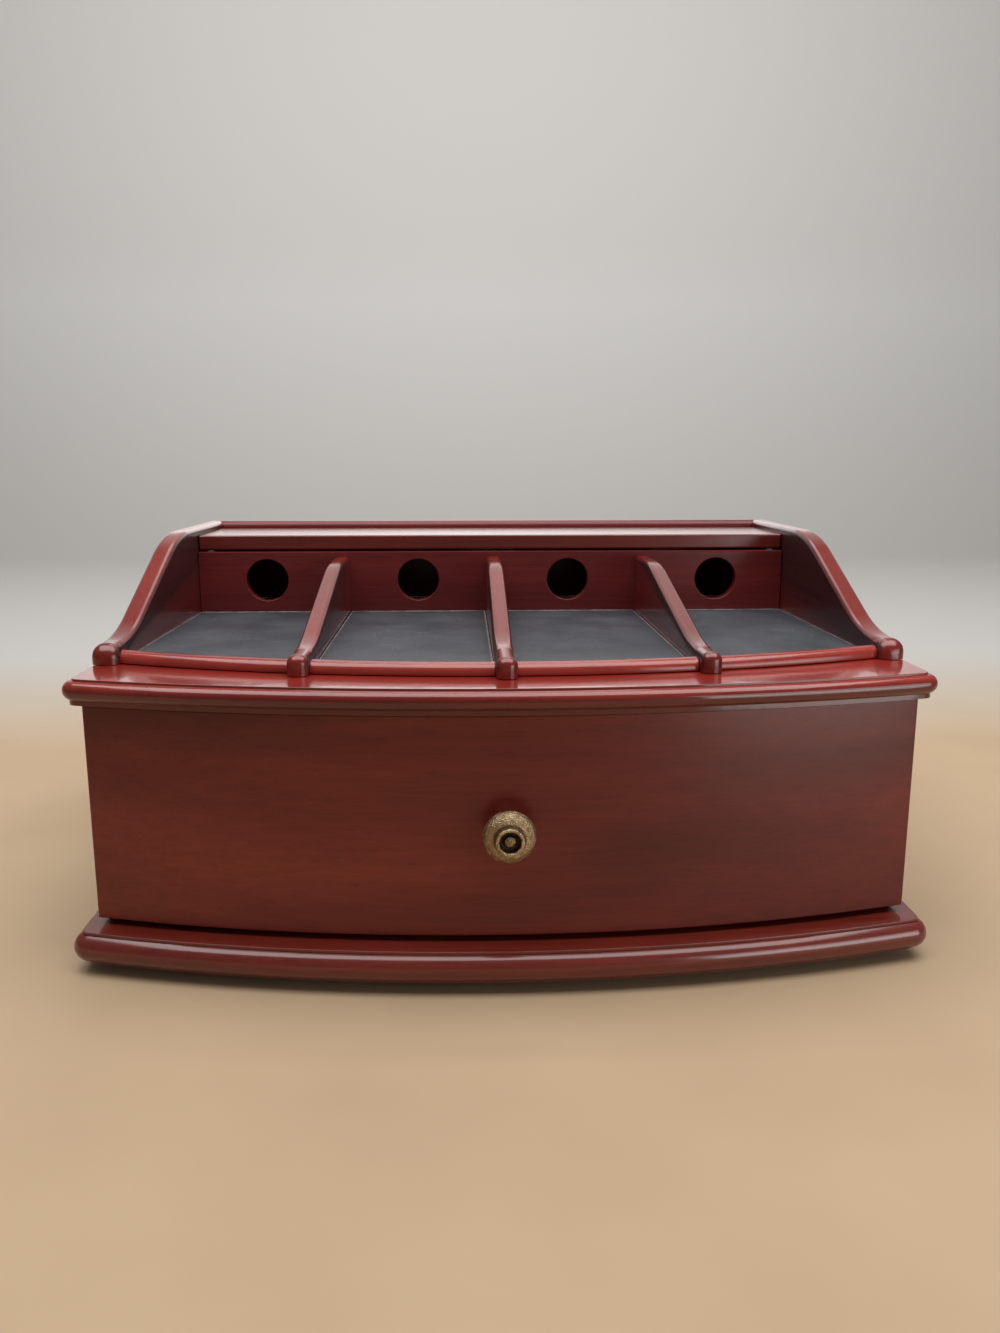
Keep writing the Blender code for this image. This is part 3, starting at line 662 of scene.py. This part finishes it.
def moulded_board(name, node, edge, finish):
    """A profile pulled along the ends and swept round the corners and the bowed front."""
    low, high = box(node)
    profile = edge_profile(*edge)
    corner_r = STEP_CORNER_R + max(inset for inset, depth in profile)
    corner_x = high.x - corner_r
    corner_y = BOW_R - math.sqrt((BOW_R - low.y - corner_r) ** 2 - corner_x ** 2)
    meet = math.atan2(corner_x, BOW_R - corner_y)
    straight = high.y - corner_y
    item = begin(name, [(high.x - inset, high.y, high.z - depth) for inset, depth in profile])
    pull((0, -straight, 0))
    sweep(CORNER_STEPS, math.pi / 2 - meet, (corner_x, corner_y, 0))
    sweep(BOW_STEPS, 2 * meet, (0, BOW_R, 0))
    sweep(CORNER_STEPS, math.pi / 2 - meet, (-corner_x, corner_y, 0))
    pull((0, straight, 0))
    for level in (high.z, low.z):
        pick_edges(lambda e: all(abs(v.co.z - level) < WELD for v in e.verts) and e.is_boundary)
        bpy.ops.mesh.edge_face_add()
    pick_edges(lambda e: e.is_boundary)
    bpy.ops.mesh.edge_face_add()
    outward()
    pick_edges(lambda e: all(abs(v.co.y - high.y) < WELD for v in e.verts))
    ease(EASE_THIN)
    close_mesh()
    # Painted light: the share follows how far a face points up, so the tops take the paler, lit tones.
    mark(item, "painted_light_share", lambda v: max(0.0, v.normal.z))
    settle(item, "case", finish, node)


def s_curve(high, low, high_r, low_r):
    """A shoulder, a straight slope and a hollow that join two levels."""
    run = high[0] - low[0]
    drop = high[1] - low[1]
    ease = min(1.0, CURVE_SHARE * (run * run + drop * drop) / (2 * drop * (high_r + low_r)))
    high_r *= ease
    low_r *= ease
    both = high_r + low_r
    slope = math.sqrt(run * run + (both - drop) ** 2 - both * both)
    steep = math.atan2(both, slope) - math.atan2(both - drop, run)
    points = [(high[0] - high_r * math.sin(a), high[1] - high_r * (1 - math.cos(a)))
              for a in arc(CURVE_STEPS, 0, steep)]
    points += [(low[0] + low_r * math.sin(a), low[1] + low_r * (1 - math.cos(a)))
               for a in arc(CURVE_STEPS, steep, 0)]
    return points


def upright(name, node, flat_end, toe_end, toe_rise, radii, nose_r, toe_round, flare):
    """A board on edge: its side view filled and pulled to its thickness, its top rounded, its toe flared."""
    low, high = box(node)
    toe_top = low.z - FIT + toe_rise
    path = [(high.y, low.z), (high.y, high.z)]
    path += s_curve((flat_end, high.z), (toe_end, toe_top), *radii)
    path += [(low.y + nose_r * (1 - math.sin(a)), toe_top + TOE_BEAD - nose_r * (1 - math.cos(a)))
             for a in arc(TOE_STEPS, TOE_START, math.pi / 2)]
    path.append((low.y, low.z))
    item = begin(name, [(low.x, y, z) for y, z in path])
    bpy.ops.mesh.edge_face_add()
    pull((high.x - low.x, 0, 0))
    outward()
    shape = bmesh.from_edit_mesh(item.data)
    weight = shape.edges.layers.float.new("bevel_weight_edge")
    for edge in shape.edges:
        first, second = (v.co for v in edge.verts)
        if abs(first.x - second.x) > WELD or max(first.z, second.z) - low.z < WELD:
            continue
        if min(first.y, second.y) > high.y - WELD:
            continue
        y = (first.y + second.y) / 2
        near = smooth((toe_end + TOE_BLEND / 2 - y) / TOE_BLEND)
        edge[weight] = (TOP_EDGE_R + (toe_round - TOP_EDGE_R) * near) / toe_round
    bmesh.update_edit_mesh(item.data)
    close_mesh()
    apply(item, "BEVEL", limit_method="WEIGHT", width=toe_round, segments=EDGE_SEGMENTS,
          use_clamp_overlap=False)
    middle = (low.x + high.x) / 2
    for vertex in item.data.vertices:
        near = smooth((low.y + FLARE_END - vertex.co.y) / FLARE_RUN)
        vertex.co.x = middle + (vertex.co.x - middle) * (1 + flare * near)
    # Painted light and shade: the share is full on tops and toe fronts and none on the sides, so the sides
    # take the darker tones as painted shade.
    mark(item, "painted_light_share", lambda v: 1 - v.normal.x ** 2)
    return item


def cheeks():
    low, high = box("cheek_right")
    rail_face = box("back_rail")[0].y
    pin_low, pin_high = box("lid_pin_right")
    hinge = (pin_low + pin_high) / 2
    for side, sign in SIDES.items():
        node = f"cheek_{side}"
        item = upright(f"{node}_shaped", node, high.y - CHEEK_FLAT, low.y + CHEEK_TOE_L, CHEEK_TOE_RISE,
                       CHEEK_RADII, CHEEK_NOSE_R, CHEEK_TOE_ROUND, CHEEK_FLARE)
        reopen(item)
        inner = Vector((sign * low.x, rail_face, 0))
        away = Vector((-sign, 1, 0)).normalized()
        trim(inner - away * FIT / 2, away)
        outward()
        close_mesh()
        start = sign * (low.x - PIN_REACH + PIN_IN_CHEEK)
        cut(item, drill(PIN_BORE_R, (start, hinge.y, hinge.z), sign * PIN_REACH, "X", PIN_SIDES))
        settle(item, "case", MAHOGANY_BACK, node)


def dividers():
    for side in ("left", "middle", "right"):
        node = f"divider_{side}"
        back = box(node)[1].y + FIT
        item = upright(f"{node}_shaped", node, back - DIVIDER_FLAT, TOE_Y + DIVIDER_TOE_L,
                       DIVIDER_TOE_RISE, DIVIDER_RADII, DIVIDER_NOSE_R, DIVIDER_TOE_ROUND, DIVIDER_FLARE)
        settle(item, "case", MAHOGANY_BACK, node)


def back_rail():
    low, high = box("back_rail")
    inner = box("cheek_right")[0].x
    path = [(low.y, low.z), *rise(low.y, high.z, BACK_EDGE_R, 2 * EDGE_SEGMENTS)]
    path += [*fall(high.y, high.z, TOP_EDGE_R, EDGE_SEGMENTS), (high.y, low.z)]
    item = begin("back_rail_mitred", [(low.x, y, z) for y, z in path])
    bpy.ops.mesh.edge_face_add()
    pull((high.x - low.x, 0, 0))
    for sign in SIDES.values():
        away = Vector((sign, -1, 0)).normalized()
        trim(Vector((sign * inner, low.y, 0)) - away * FIT / 2, away)
    outward()
    close_mesh()
    deck = low.z - FIT
    side = [(NOTCH_W / 2, deck - FIT), *reversed(fall(NOTCH_W / 2, deck + NOTCH_H, NOTCH_R, ROUND_STEPS))]
    side += [(-x, z) for x, z in reversed(side)]
    tool = begin("notch_bit", [(x, low.y - BIT_OVER, z) for x, z in side])
    bpy.ops.mesh.edge_face_add()
    pull((0, high.y - low.y + 2 * BIT_OVER, 0))
    outward()
    close_mesh()
    cut(item, tool)
    reopen(item)

    def round_the_notch(edge):
        first, second = (v.co for v in edge.verts)
        inside = all(abs(p.x) < NOTCH_W / 2 + WELD and p.z < deck + NOTCH_H + WELD for p in (first, second))
        return inside and abs(first.y - second.y) < WELD and max(first.z, second.z) > low.z + WELD

    pick_edges(round_the_notch)
    ease(EASE_FINE, segments=2)
    settle(item, "case", MAHOGANY_ACROSS, "back_rail")


def bowed_bar(name, section, left, right, steps):
    """A section of (distance behind the bow, height) points, swept along the bow and sawn at both ends."""
    reach = math.asin((max(abs(left), abs(right)) + BOW_SPARE) / BOW_R)
    item = loop(name, [((BOW_R - back) * math.sin(reach), BOW_R - (BOW_R - back) * math.cos(reach), z)
                       for back, z in section])
    sweep(steps, 2 * reach, (0, BOW_R, 0))
    trim((right, 0, 0), (1, 0, 0))
    trim((left, 0, 0), (-1, 0, 0))
    outward()
    return item


def drawer_front():
    low, high = box("drawer_front")
    section = [(0, low.z), (0, high.z), (FRONT_T, high.z), (FRONT_T, low.z)]
    item = bowed_bar("drawer_front_bowed", section, low.x, high.x, BOW_STEPS)
    ease_sharp(EASE)
    close_mesh()
    bottom_low, bottom_high = box("drawer_bottom")
    inside, behind = FRONT_T - GROOVE_DEPTH - FIT, FRONT_T + GROOVE_DEPTH
    under, over = bottom_low.z - FIT, bottom_high.z + FIT
    groove = bowed_bar("groove_bit", [(inside, under), (inside, over), (behind, over), (behind, under)],
                       bottom_low.x - FIT, bottom_high.x + FIT, BOW_STEPS // 2)
    close_mesh()
    cut(item, groove)
    screw_low, screw_high = box("knob_screw")
    height = (screw_low.z + screw_high.z) / 2
    cut(item, drill(SCREW_BORE_R, (0, SCREW_START, height), BORE_L, "Y", SCREW_SIDES))
    settle(item, "drawer", MAHOGANY_FRONT, "drawer_front")


def shifted_bow(name, section, left, right, steps):
    """A section of (distance back, height) points, pulled step by step along the toes' curve."""
    reach = math.asin((max(abs(left), abs(right)) + RAIL_SPARE) / BAY_BOW_R)
    short = math.asin((min(abs(left), abs(right)) - RAIL_SPARE) / BAY_BOW_R)
    start = reach if right > 0 else -short
    item = loop(name, [(BAY_BOW_R * math.sin(start), back + BAY_BOW_R - BAY_BOW_R * math.cos(start), z)
                       for back, z in section])
    bpy.ops.mesh.select_all(action="SELECT")
    turns = [start - count * (reach - short) / steps for count in range(steps + 1)]
    for a, b in zip(turns, turns[1:]):
        pull((BAY_BOW_R * (math.sin(b) - math.sin(a)), BAY_BOW_R * (math.cos(a) - math.cos(b)), 0))
    trim((right, 0, 0), (1, 0, 0))
    trim((left, 0, 0), (-1, 0, 0))
    outward()
    return item


def bay_rails():
    for index in range(1, BAYS + 1):
        node = f"bay_rail_{index}"
        low, high = box(node)
        front = TOE_Y + RAIL_SETBACK
        back = front + RAIL_W
        section = [(front, low.z), *rise(front, high.z, RAIL_ROUND, ROUND_STEPS)]
        section += [*fall(back, high.z, RAIL_BACK, SMALL_STEPS), (back, low.z)]
        item = shifted_bow(f"{node}_rounded", section, low.x, high.x, RAIL_STEPS)
        ease_sharp(RAIL_END, angle=70)
        settle(item, "case", MAHOGANY_RAIL, node)


def pads():
    for index in range(1, BAYS + 1):
        node = f"bay_pad_{index}"
        low, high = box(node)
        behind = RAIL_SETBACK + RAIL_W + PAD_GAP
        fronts = [(x, toe_line(x) + behind) for x in arc(PAD_COLUMNS, low.x, high.x)]
        item = begin(f"{node}_sheet", [(x, y, low.z) for x, y in fronts])
        for row in range(PAD_ROWS):
            pull((0, 0, 0))
            share = (PAD_ROWS - row - 1) / (PAD_ROWS - row)
            bpy.ops.transform.resize(value=(1, share, 1), center_override=(0, high.y, 0))
        bpy.ops.mesh.select_all(action="SELECT")
        bpy.ops.mesh.normals_make_consistent(inside=False)
        bpy.ops.mesh.select_mode(type="FACE")
        bpy.ops.mesh.select_all(action="SELECT")
        bpy.ops.mesh.inset(thickness=PAD_RIM, depth=0)
        shape = bmesh.from_edit_mesh(item.data)
        if sum(f.normal.z for f in shape.faces) < 0:
            bpy.ops.mesh.select_all(action="SELECT")
            bpy.ops.mesh.flip_normals()
        close_mesh()
        apply(item, "SOLIDIFY", thickness=high.z - low.z, offset=1.0)
        reopen(item)
        ease_sharp(EASE_PAD, segments=2)
        close_mesh()
        mark(item, "rim", lambda v: float(
            min(v.co.x - low.x, high.x - v.co.x, high.y - v.co.y) < PAD_RIM / 2))
        settle(item, "case", LEATHERETTE, node)


def cord_panel():
    low, high = box("cord_panel")
    item = board("cord_panel_bored", low, high)
    ease_sharp(EASE_FINE, segments=2)
    close_mesh()
    height = low.z - FIT + HOLE_RISE
    pads_at = [box(f"bay_pad_{index}") for index in range(1, BAYS + 1)]
    places = [(left.x + right.x) / 2 for left, right in pads_at]
    for x in places:
        cut(item, drill(HOLE_R, (x, low.y - BIT_OVER, height), BORE_L, "Y"))
    reopen(item)

    def round_a_hole(edge):
        first, second = (v.co for v in edge.verts)
        return abs(first.y - second.y) < WELD and any(
            all(abs(math.hypot(p.x - x, p.z - height) - HOLE_R) < ON_CIRCLE for p in (first, second))
            for x in places)

    pick_edges(round_a_hole)
    ease(HOLE_RIM)
    settle(item, "case", MAHOGANY_ACROSS, "cord_panel")


def lid():
    low, high = box("lid")
    radius = (high.z - low.z) / 2
    hinge_y = high.y - radius
    hinge_z = low.z + radius
    front = rise(low.y, high.z, LID_EDGE, SMALL_STEPS)
    path = front + [(hinge_y + radius * math.cos(a), hinge_z + radius * math.sin(a))
                    for a in arc(HINGE_STEPS, math.pi / 2, -math.pi / 2)]
    path += [(y, low.z + high.z - z) for y, z in reversed(front)]
    item = begin("lid_board", [(low.x, y, z) for y, z in path])
    bpy.ops.mesh.edge_face_add()
    pull((high.x - low.x, 0, 0))
    outward()
    ease_sharp(EASE_THIN, segments=2, angle=60)
    close_mesh()
    for sign in SIDES.values():
        start = sign * (high.x + LID_BORE_OVER)
        cut(item, drill(PIN_BORE_R, (start, hinge_y, hinge_z), -sign * LID_BORE_L, "X", PIN_SIDES))
    settle(item, "lid", MAHOGANY_LID, "lid")


def knob():
    """A profile from the foot out to the tip, as (radius, distance from the drawer front), turned."""
    low, high = box("knob")
    height = (low.z + high.z) / 2
    out = high.y - low.y
    rim, ring, neck, lip = KNOB_RIM_R, KNOB_RING_R, KNOB_NECK_R, KNOB_LIP
    well, button = KNOB_WELL_R, KNOB_BUTTON_R
    bottom, tip = out - KNOB_WELL_DEPTH, out - KNOB_BUTTON_DROP
    behind, shelf, waist = KNOB_RIM_OUT - KNOB_RIM_T, out - KNOB_RING_L, 2 * KNOB_RIM_T
    profile = [(0, 0), (KNOB_FOOT_R - lip, 0), (KNOB_FOOT_R, lip), (KNOB_FOOT_R, KNOB_RIM_T)]
    profile += [(neck + (rim - neck) * (1 - math.cos(a)), waist + (behind - waist) * math.sin(a))
                for a in arc(NECK_STEPS, 0, math.pi / 2)]
    edge = KNOB_RIM_T / 2
    profile += [(rim - KNOB_RIM_SWELL * (1 - math.sin(a)), behind + edge - edge * math.cos(a))
                for a in arc(RIM_STEPS, RIM_START, math.pi)]
    profile += [(ring + (rim - ring) * math.cos(a), KNOB_RIM_OUT + (shelf - KNOB_RIM_OUT) * math.sin(a))
                for a in arc(DOME_STEPS, DOME_START, math.pi / 2)]
    profile += reversed(fall(ring, out, lip, LIP_STEPS))
    profile += reversed(rise(well, out, lip, LIP_STEPS))
    profile += [(well, bottom), (button, bottom), (button, tip - 2 * lip)]
    profile += [(button * math.cos(a), tip - 2 * lip * (1 - math.sin(a)))
                for a in arc(BUTTON_STEPS, BUTTON_START, math.pi / 2)]
    profile[-1] = (0, tip)
    item = begin("knob_turned", [(r, high.y - y, height) for r, y in profile])
    sweep(KNOB_SIDES, math.tau, (0, 0, height), (0, 1, 0))
    outward()
    close_mesh()

    def dirt(vertex):
        reach = math.hypot(vertex.co.x, vertex.co.z - height)
        tall = high.y - vertex.co.y
        if button - lip < reach < well + lip / 2 and tall < out - lip:
            return WELL_DIRT
        if abs(reach - ring) < 2 * lip and abs(tall - shelf) < lip:
            return RING_DIRT
        return BUTTON_DIRT if reach < button else 0.0

    mark(item, "dirt", dirt)
    settle(item, "drawer", BRASS, "knob")


def slanted_board(name, node, body, finish, ahead):
    """A board along Y whose front end follows the bow behind the drawer front."""
    low, high = box(node)
    item = board(name, low, high)
    inner, outer = sorted((abs(low.x), abs(high.x)))
    sign = 1 if low.x > 0 else -1
    first = Vector((sign * inner, bow(inner, ahead), 0))
    second = Vector((sign * outer, bow(outer, ahead), 0))
    run = second - first
    normal = Vector((run.y, -run.x, 0))
    normal = normal if normal.y < 0 else -normal
    trim(first, normal)
    outward()
    ease_sharp(EASE)
    settle(item, body, finish, node)


def carcass():
    for side in SIDES:
        slanted_board(f"carcass_side_{side}_board", f"carcass_side_{side}", "case", MAHOGANY_SIDE,
                      -FRONT_T - CARCASS_GAP)
        slanted_board(f"drawer_side_{side}_board", f"drawer_side_{side}", "drawer", BOX_BACK,
                      -FRONT_T - FIT)
    for node, name, body, finish in (("lower_back_panel", "lower_back_board", "case", BACK_BOARD),
                                     ("drawer_back", "drawer_back_board", "drawer", BOX_ACROSS)):
        item = board(name, *box(node))
        ease_sharp(EASE_FINE, segments=2)
        settle(item, body, finish, node)


def feet():
    for row in ("front", "rear"):
        for side in SIDES:
            node = f"foot_{row}_{side}"
            low, high = box(node)
            middle = (low + high) / 2
            radius = (high.x - low.x) / 2
            flat = radius - FOOT_SOFT
            profile = [(0, low.z)]
            profile += [(flat + FOOT_SOFT * math.sin(a), low.z + FOOT_SOFT * (1 - math.cos(a)))
                        for a in arc(SMALL_STEPS, 0, math.pi / 2)]
            profile += [(radius, high.z - FOOT_SOFT / 2), (radius - FOOT_SOFT / 2, high.z), (0, high.z)]
            item = begin(f"{node}_disc", [(middle.x + r, middle.y, z) for r, z in profile])
            sweep(FOOT_SIDES, math.tau, (middle.x, middle.y, 0))
            outward()
            settle(item, "case", FELT, node)


def bumpers():
    for side in SIDES:
        node = f"lid_bumper_{side}"
        low, high = box(node)
        middle = (low + high) / 2
        radius = (high.x - low.x) / 2
        tall = high.z - low.z
        profile = [(0, low.z), (radius, low.z)]
        profile += [(radius * math.cos(a), low.z + tall * math.sin(a))
                    for a in arc(BUMPER_STEPS, BUMPER_START, math.pi / 2)]
        profile[-1] = (0, high.z)
        item = begin(f"{node}_dome", [(middle.x + r, middle.y, z) for r, z in profile])
        sweep(BUMPER_SIDES, math.tau, (middle.x, middle.y, 0))
        outward()
        settle(item, "case", RUBBER, node)


def refinish(finish, *nodes):
    """Give solids that keep their own shape a better finish."""
    for node in nodes:
        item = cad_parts[node]
        item.data.materials.clear()
        item.data.materials.append(finish)


moulded_board("base_moulded", "base_board", BASE_EDGE, MAHOGANY_BASE)
moulded_board("deck_moulded", "deck_board", DECK_EDGE, MAHOGANY_DECK)
drawer_front()
knob()
cheeks()
dividers()
back_rail()
bay_rails()
pads()
cord_panel()
lid()
carcass()
feet()
bumpers()
refinish(BOX_BACK, "drawer_runner_left", "drawer_runner_right")
refinish(BOX_ACROSS, "drawer_bottom", "drawer_stop")
refinish(ZINC, "lid_pin_left", "lid_pin_right", "knob_screw")


# Floor, light and camera


# Lamp name, place, aim, size, power in watts, spread in degrees, and whether matt surfaces see it
LAMPS = (
    ("ceiling", (0, -0.30, 1.6), (0, -0.25, 0.1), (2.4, 1.2), 37, 180, True),
    ("wall_wash", (0, 0.7, 2.2), (0, 2.8, 0.9), (3.4, 0.5), 47, 180, True),
    ("upper_wall", (0, 1.2, 1.75), (0, 0, 0.1), (1.0, 0.6), 4.2, 180, True),
    ("low_wall", (0, 1.75, 0.52), (0, 0, 0.17), (3.0, 0.42), 0.5, 60, True),
    ("window", (0.90, -0.95, 0.32), (0.12, -0.1, 0.10), (0.8, 0.5), 3.0, 180, True),
    ("sheen", (0.46, -0.52, 0.10), (0.13, -0.14, 0.12), (0.34, 0.18), 0.5, 180, False),
)


def pale_floor():
    """Warm and pale under the object, fading to a light grey behind it and up the wall, the grey painted
    paler with height as painted light.
    """
    made, tree, shader = start_finish("pale_floor")
    speckle = cloud(tree, spot(tree), 9, 3.0)
    near = ramp(tree, speckle, (0.3, (0.42, 0.295, 0.180)), (0.7, (0.455, 0.325, 0.200)))
    where = axes(tree, spot(tree, (1, 0.5, 1)))
    shade = ramp(tree, where["Y"], (0.13, 0.0), (0.34, 1.0))
    # Painted light: the grey grows paler with height up the wall.
    far = ramp(tree, where["Z"], (0.0, (0.47, 0.455, 0.43)), (0.7, (0.67, 0.66, 0.64)))
    tree.links.new(blend(tree, shade, near, far), shader.inputs["Base Color"])
    set_shader(shader, roughness=0.75)
    return made


def floor():
    """A plane whose rear edge is swept up through a cove into a wall."""
    bpy.ops.object.select_all(action="DESELECT")
    bpy.ops.mesh.primitive_plane_add(size=1, location=(0, FLOOR_Y, 0))
    item = bpy.context.object
    item.name = "floor"
    item.scale = (FLOOR_W, FLOOR_D, 1)
    bpy.ops.object.transform_apply(location=True, rotation=True, scale=True)
    bpy.ops.object.mode_set(mode="EDIT")
    pick_edges(lambda e: all(v.co.y > 0 for v in e.verts))
    sweep(COVE_STEPS, math.pi / 2, (0, FLOOR_Y + FLOOR_D / 2, COVE_R), (-1, 0, 0))
    pull((0, 0, WALL_H))
    close_mesh()
    bpy.ops.object.shade_smooth()
    item.data.materials.append(pale_floor())


def lights():
    world = bpy.data.worlds.new("soft_room")
    bpy.context.scene.world = world
    world.use_nodes = True
    back = world.node_tree.nodes["Background"]
    back.inputs["Color"].default_value = (0.86, 0.85, 0.83, 1)
    back.inputs["Strength"].default_value = 0.16
    for name, place, aim, size, power, spread, on_matt in LAMPS:
        light = bpy.data.lights.new(name, "AREA")
        light.shape = "RECTANGLE"
        light.size, light.size_y = size
        light.energy = power
        light.spread = math.radians(spread)
        lamp = bpy.data.objects.new(name, light)
        bpy.context.scene.collection.objects.link(lamp)
        lamp.location = place
        lamp.rotation_euler = (Vector(aim) - Vector(place)).to_track_quat("-Z", "Y").to_euler()
        lamp.visible_camera = False
        lamp.visible_diffuse = on_matt


def camera():
    data = bpy.data.cameras.new("camera")
    data.sensor_width = SENSOR
    data.lens = FOCAL_PX * SENSOR / PHOTO_PX
    eye = bpy.data.objects.new("camera", data)
    bpy.context.scene.collection.objects.link(eye)
    eye.location = PLACE + Vector(EYE)
    eye.rotation_euler = (math.pi / 2 - PITCH, 0, YAW)
    bpy.context.scene.camera = eye


floor()
lights()
camera()
bpy.context.scene.view_settings.view_transform = "Standard"
